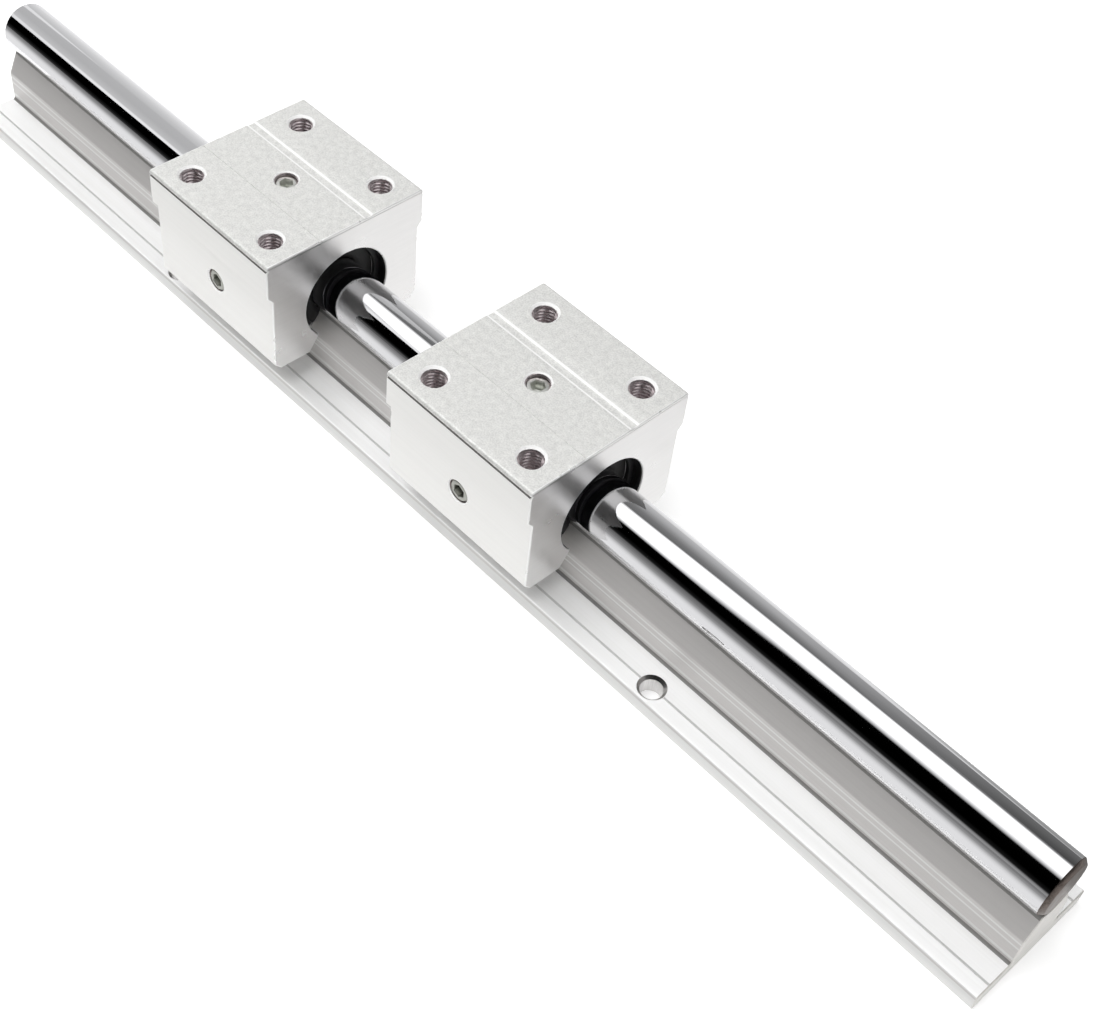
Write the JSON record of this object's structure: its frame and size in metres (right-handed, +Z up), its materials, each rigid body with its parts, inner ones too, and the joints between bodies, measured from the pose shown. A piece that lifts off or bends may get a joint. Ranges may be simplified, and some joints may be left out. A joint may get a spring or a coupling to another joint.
{
  "type": "supported round rail with bearing blocks",
  "caption": "Supported linear rail: a round shaft screwed to an aluminium T-shaped base, with open ball bearing blocks that slide along it.",
  "frame": {"origin": "on the underside of the base, at the middle of the rail's length and width", "axes": "+X along the rail towards the end beside block 2, +Y across the rail away from the side set screws, +Z up through the shaft"},
  "size_m": [0.3, 0.04, 0.039],
  "materials": {
    "rail_aluminium": "bare extruded, satin with lengthwise die lines",
    "block_aluminium": "blasted top, satin sides, cut ends",
    "shaft_chrome": "hard chrome, ground and polished",
    "bearing_steel": "ground bearing steel",
    "screw_steel": "plated screw steel",
    "ring_steel": "black spring steel",
    "cage_plastic": "black moulded",
    "seal_rubber": "black"
  },
  "bodies": {
    "rail": {"support_rail": "rail_aluminium", "shaft": "shaft_chrome", "shaft_screw_1": "screw_steel", "shaft_screw_2": "screw_steel", "shaft_screw_3": "screw_steel", "shaft_screw_4": "screw_steel"},
    "block_1": {"housing_1": "block_aluminium", "bearing_sleeve_1": "bearing_steel", "ball_cage_1": "cage_plastic", "balls_1": "bearing_steel", "end_seal_1_far": "seal_rubber", "end_seal_1_near": "seal_rubber", "retaining_ring_1_far": "ring_steel", "retaining_ring_1_near": "ring_steel", "top_screw_1": "screw_steel", "side_screw_1": "screw_steel"},
    "block_2": {"housing_2": "block_aluminium", "bearing_sleeve_2": "bearing_steel", "ball_cage_2": "cage_plastic", "balls_2": "bearing_steel", "end_seal_2_far": "seal_rubber", "end_seal_2_near": "seal_rubber", "retaining_ring_2_far": "ring_steel", "retaining_ring_2_near": "ring_steel", "top_screw_2": "screw_steel", "side_screw_2": "screw_steel"}
  },
  "joints": [
    {"name": "block_1_slide", "type": "slide", "parent": "rail", "child": "block_1", "axis": [1, 0, 0], "range_m": [-0.0815, 0.0175]},
    {"name": "block_2_slide", "type": "slide", "parent": "rail", "child": "block_2", "axis": [1, 0, 0], "range_m": [-0.0175, 0.1045]}
  ]
}
